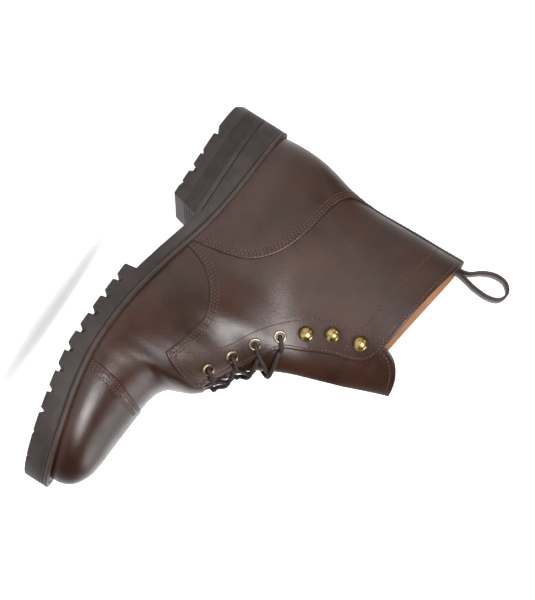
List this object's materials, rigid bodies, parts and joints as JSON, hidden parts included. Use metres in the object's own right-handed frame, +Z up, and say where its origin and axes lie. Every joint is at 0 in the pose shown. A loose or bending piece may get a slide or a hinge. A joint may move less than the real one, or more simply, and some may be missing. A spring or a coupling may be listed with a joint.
{
  "type": "work boot",
  "caption": "Ankle-high lace-up work boot for the left foot, smooth leather with cap toe, heel counter, ball hooks and pull loop on a lugged rubber sole.",
  "frame": {"origin": "on the floor, under the middle of the boot's box", "axes": "+X towards the toe, +Y to the boot's outer (lateral) side, +Z up"},
  "size_m": [0.3076, 0.1068, 0.2369],
  "materials": {
    "leather": "smooth, fine grain, semi-gloss",
    "dark_leather": "smooth, matt",
    "rubber": "matt, finely ground edge",
    "insole": "matt lining leather",
    "lace": "round waxed cord",
    "brass": "aged, satin"
  },
  "bodies": {
    "root": {"heel": "rubber", "outsole": "rubber", "midsole": "rubber", "insole": "insole", "upper": "leather", "toe_cap": "leather", "heel_counter": "leather", "tongue": "leather", "pull_loop": "dark_leather", "lace": "lace", "eyelet_medial_1": "brass", "eyelet_medial_2": "brass", "eyelet_medial_3": "brass", "eyelet_medial_4": "brass", "eyelet_lateral_1": "brass", "eyelet_lateral_2": "brass", "eyelet_lateral_3": "brass", "eyelet_lateral_4": "brass", "hook_medial_1": "brass", "hook_medial_2": "brass", "hook_medial_3": "brass", "hook_lateral_1": "brass", "hook_lateral_2": "brass", "hook_lateral_3": "brass"}
  },
  "joints": []
}
